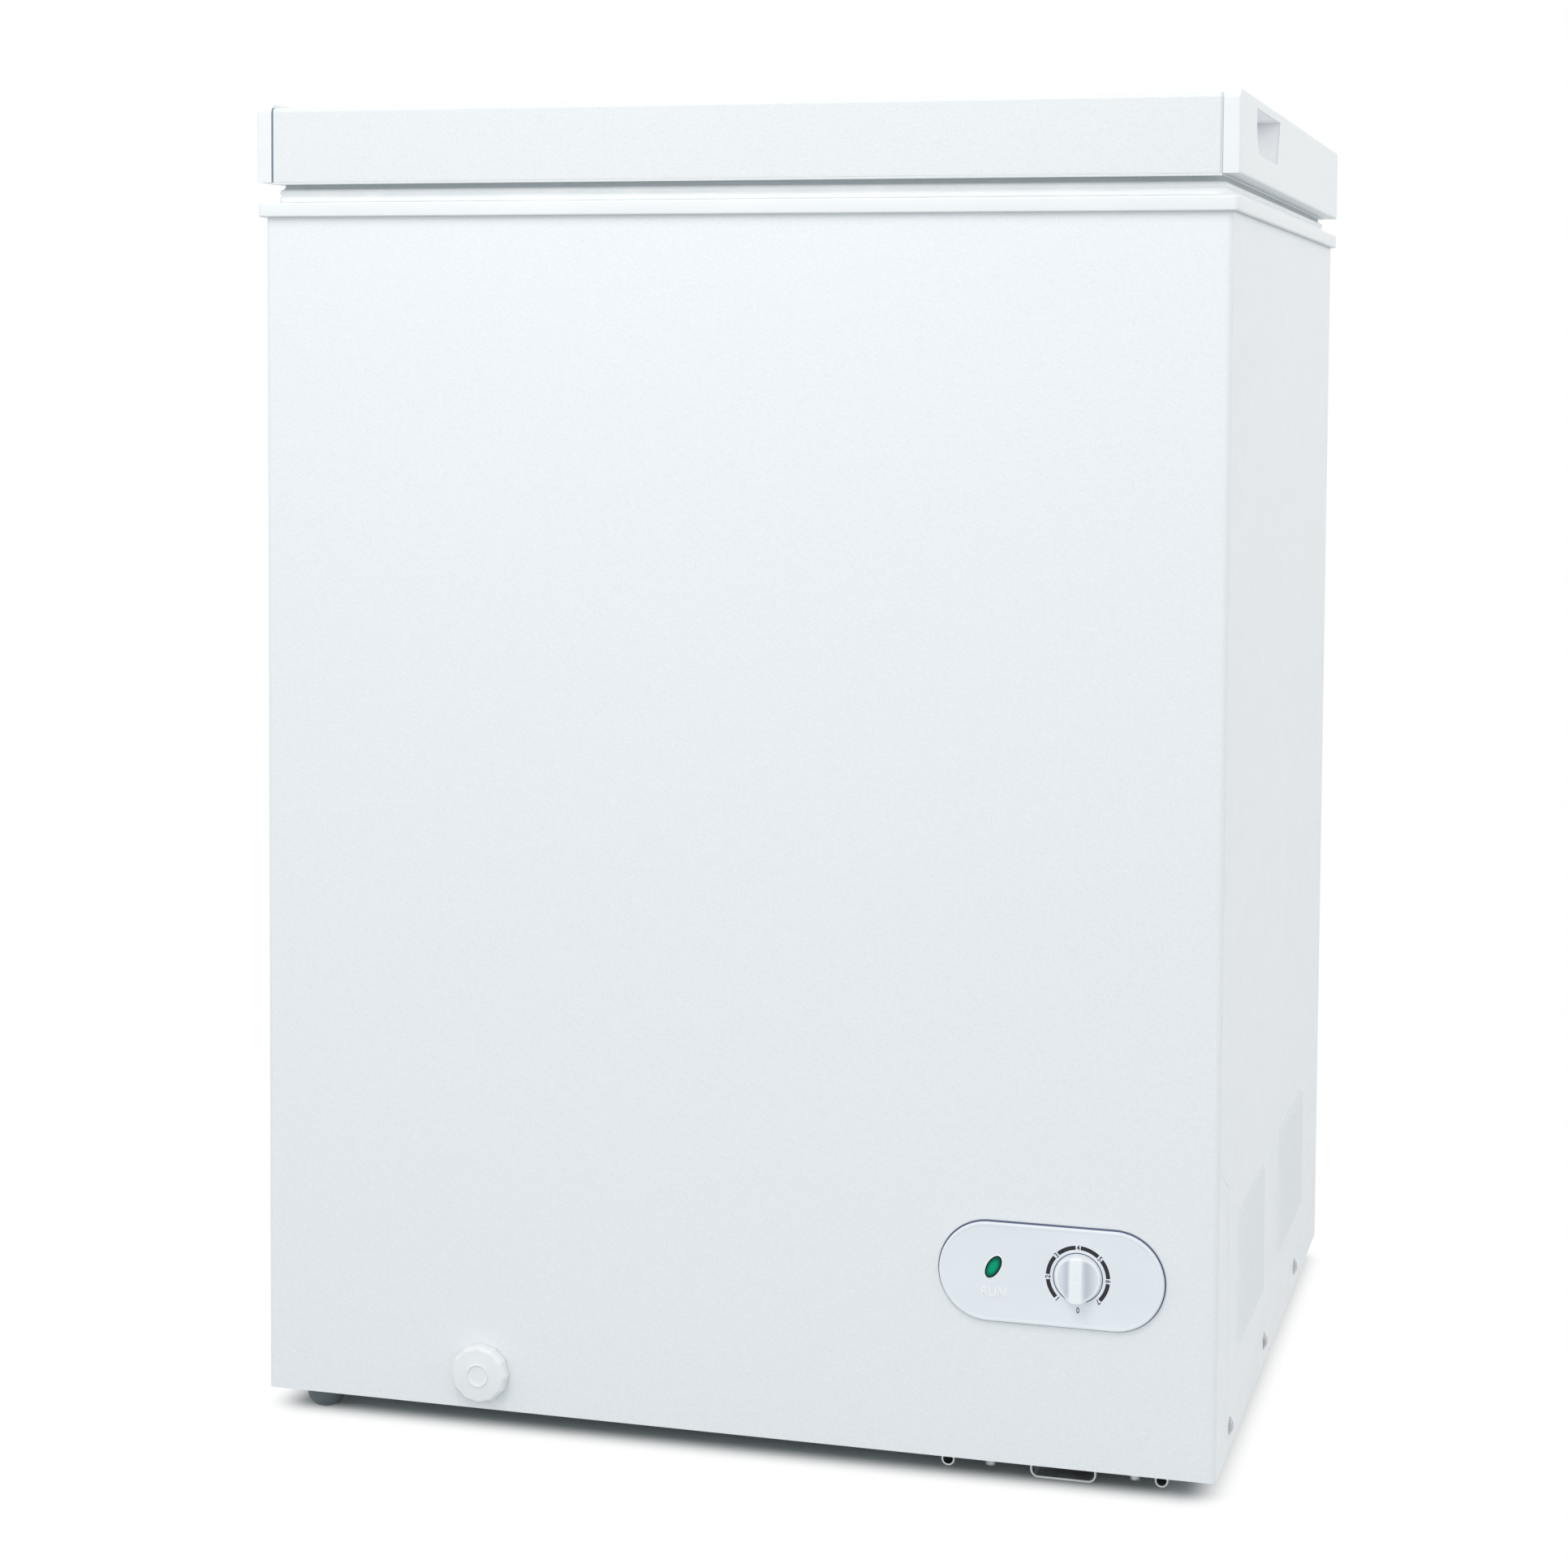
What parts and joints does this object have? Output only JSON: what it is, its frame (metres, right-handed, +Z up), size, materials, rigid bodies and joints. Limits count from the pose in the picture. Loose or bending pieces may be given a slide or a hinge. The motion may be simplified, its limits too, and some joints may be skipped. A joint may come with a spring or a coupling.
{
  "type": "chest freezer",
  "caption": "Compact chest freezer, taller than wide, with a hinged top lid, wire basket, round thermostat knob, drain outlet and louvred compressor bay.",
  "frame": {"origin": "on the floor under the middle of the whole, from the knob to the hinges", "axes": "+Z up, front faces -Y, +X to the right seen from the front"},
  "size_m": [0.63, 0.583, 0.85],
  "materials": {
    "painted_steel": "satin",
    "galvanised_steel": "satin",
    "white_plastic": "satin",
    "panel_plastic": "satin",
    "knob_plastic": "satin",
    "green_lens": "gloss",
    "black_plastic": "satin",
    "foot_plastic": "satin",
    "foam": "matte",
    "tank_aluminium": "satin",
    "black_enamel": "gloss",
    "black_rubber": "matte",
    "seal_rubber": "matte",
    "copper": "satin",
    "bright_steel": "satin",
    "coated_wire": "gloss"
  },
  "bodies": {
    "cabinet": {"cabinet_wrapper": "painted_steel", "side_screws": "painted_steel", "base_plate_screws": "painted_steel", "rear_panel": "galvanised_steel", "bottom_panel": "galvanised_steel", "base_plate": "galvanised_steel", "bay_rail": "galvanised_steel", "rear_grille": "galvanised_steel", "rear_grille_screws": "galvanised_steel", "hinge_base_left": "galvanised_steel", "hinge_base_right": "galvanised_steel", "hinge_base_screws": "galvanised_steel", "compressor_legs": "galvanised_steel", "compressor_bolts": "galvanised_steel", "condenser_coil": "galvanised_steel", "rim_frame": "white_plastic", "drain_tube": "white_plastic", "control_bezel": "panel_plastic", "lamp_lens": "green_lens", "relay_cover": "black_plastic", "thermostat": "black_plastic", "lamp_holder": "black_plastic", "cable_gland": "black_plastic", "feet": "foot_plastic", "cabinet_foam": "foam", "inner_tank": "tank_aluminium", "evaporator_coil": "tank_aluminium", "compressor_shell": "black_enamel", "compressor_grommets": "black_rubber", "filter_drier": "copper", "suction_line": "copper", "discharge_line": "copper", "liquid_line": "copper", "capillary_tube": "copper", "hinge_pin_left": "bright_steel", "hinge_pin_right": "bright_steel", "hinge_spring_left": "bright_steel", "hinge_spring_right": "bright_steel"},
    "lid": {"lid_skin": "painted_steel", "lid_cap_left": "white_plastic", "lid_cap_right": "white_plastic", "lid_foam": "foam", "lid_pan": "white_plastic", "lid_gasket": "seal_rubber", "hinge_leaf_left": "galvanised_steel", "hinge_leaf_right": "galvanised_steel", "hinge_leaf_screws": "galvanised_steel"},
    "knob": {"control_knob": "knob_plastic", "thermostat_shaft": "bright_steel"},
    "drain_cap": {"drain_cap": "white_plastic"},
    "drain_plug": {"drain_plug": "seal_rubber"},
    "basket": {"basket": "coated_wire"},
    "plunger_left": {"hinge_plunger_left": "black_plastic"},
    "plunger_right": {"hinge_plunger_right": "black_plastic"}
  },
  "joints": [
    {"name": "lid_hinge", "type": "hinge", "parent": "cabinet", "child": "lid", "pos_m": [0, 0.2855, 0.796], "axis": [-1, 0, 0], "range_deg": [0, 85]},
    {"name": "plunger_left_slide", "type": "slide", "parent": "cabinet", "child": "plunger_left", "axis": [0, 0, 1], "range_m": [0, 0.0066], "deforming": ["hinge_spring_left"]},
    {"name": "plunger_right_slide", "type": "slide", "parent": "cabinet", "child": "plunger_right", "axis": [0, 0, 1], "range_m": [0, 0.0066], "deforming": ["hinge_spring_right"]},
    {"name": "knob_turn", "type": "hinge", "parent": "cabinet", "child": "knob", "pos_m": [0.2261, -0.2885, 0.1336], "axis": [0, 1, 0], "range_deg": [0, 315]},
    {"name": "drain_cap_pull", "type": "slide", "parent": "cabinet", "child": "drain_cap", "axis": [0, -1, 0], "range_m": [0, 0.014]},
    {"name": "drain_plug_lift", "type": "slide", "parent": "cabinet", "child": "drain_plug", "axis": [0, 0, 1], "range_m": [0, 0.025]},
    {"name": "basket_slide", "type": "slide", "parent": "cabinet", "child": "basket", "axis": [1, 0, 0], "range_m": [0, 0.252]}
  ],
  "couplings": [
    {"joint": "plunger_left_slide", "follows": "lid_hinge", "m_per_rad": 0.0044},
    {"joint": "plunger_right_slide", "follows": "lid_hinge", "m_per_rad": 0.0044}
  ]
}
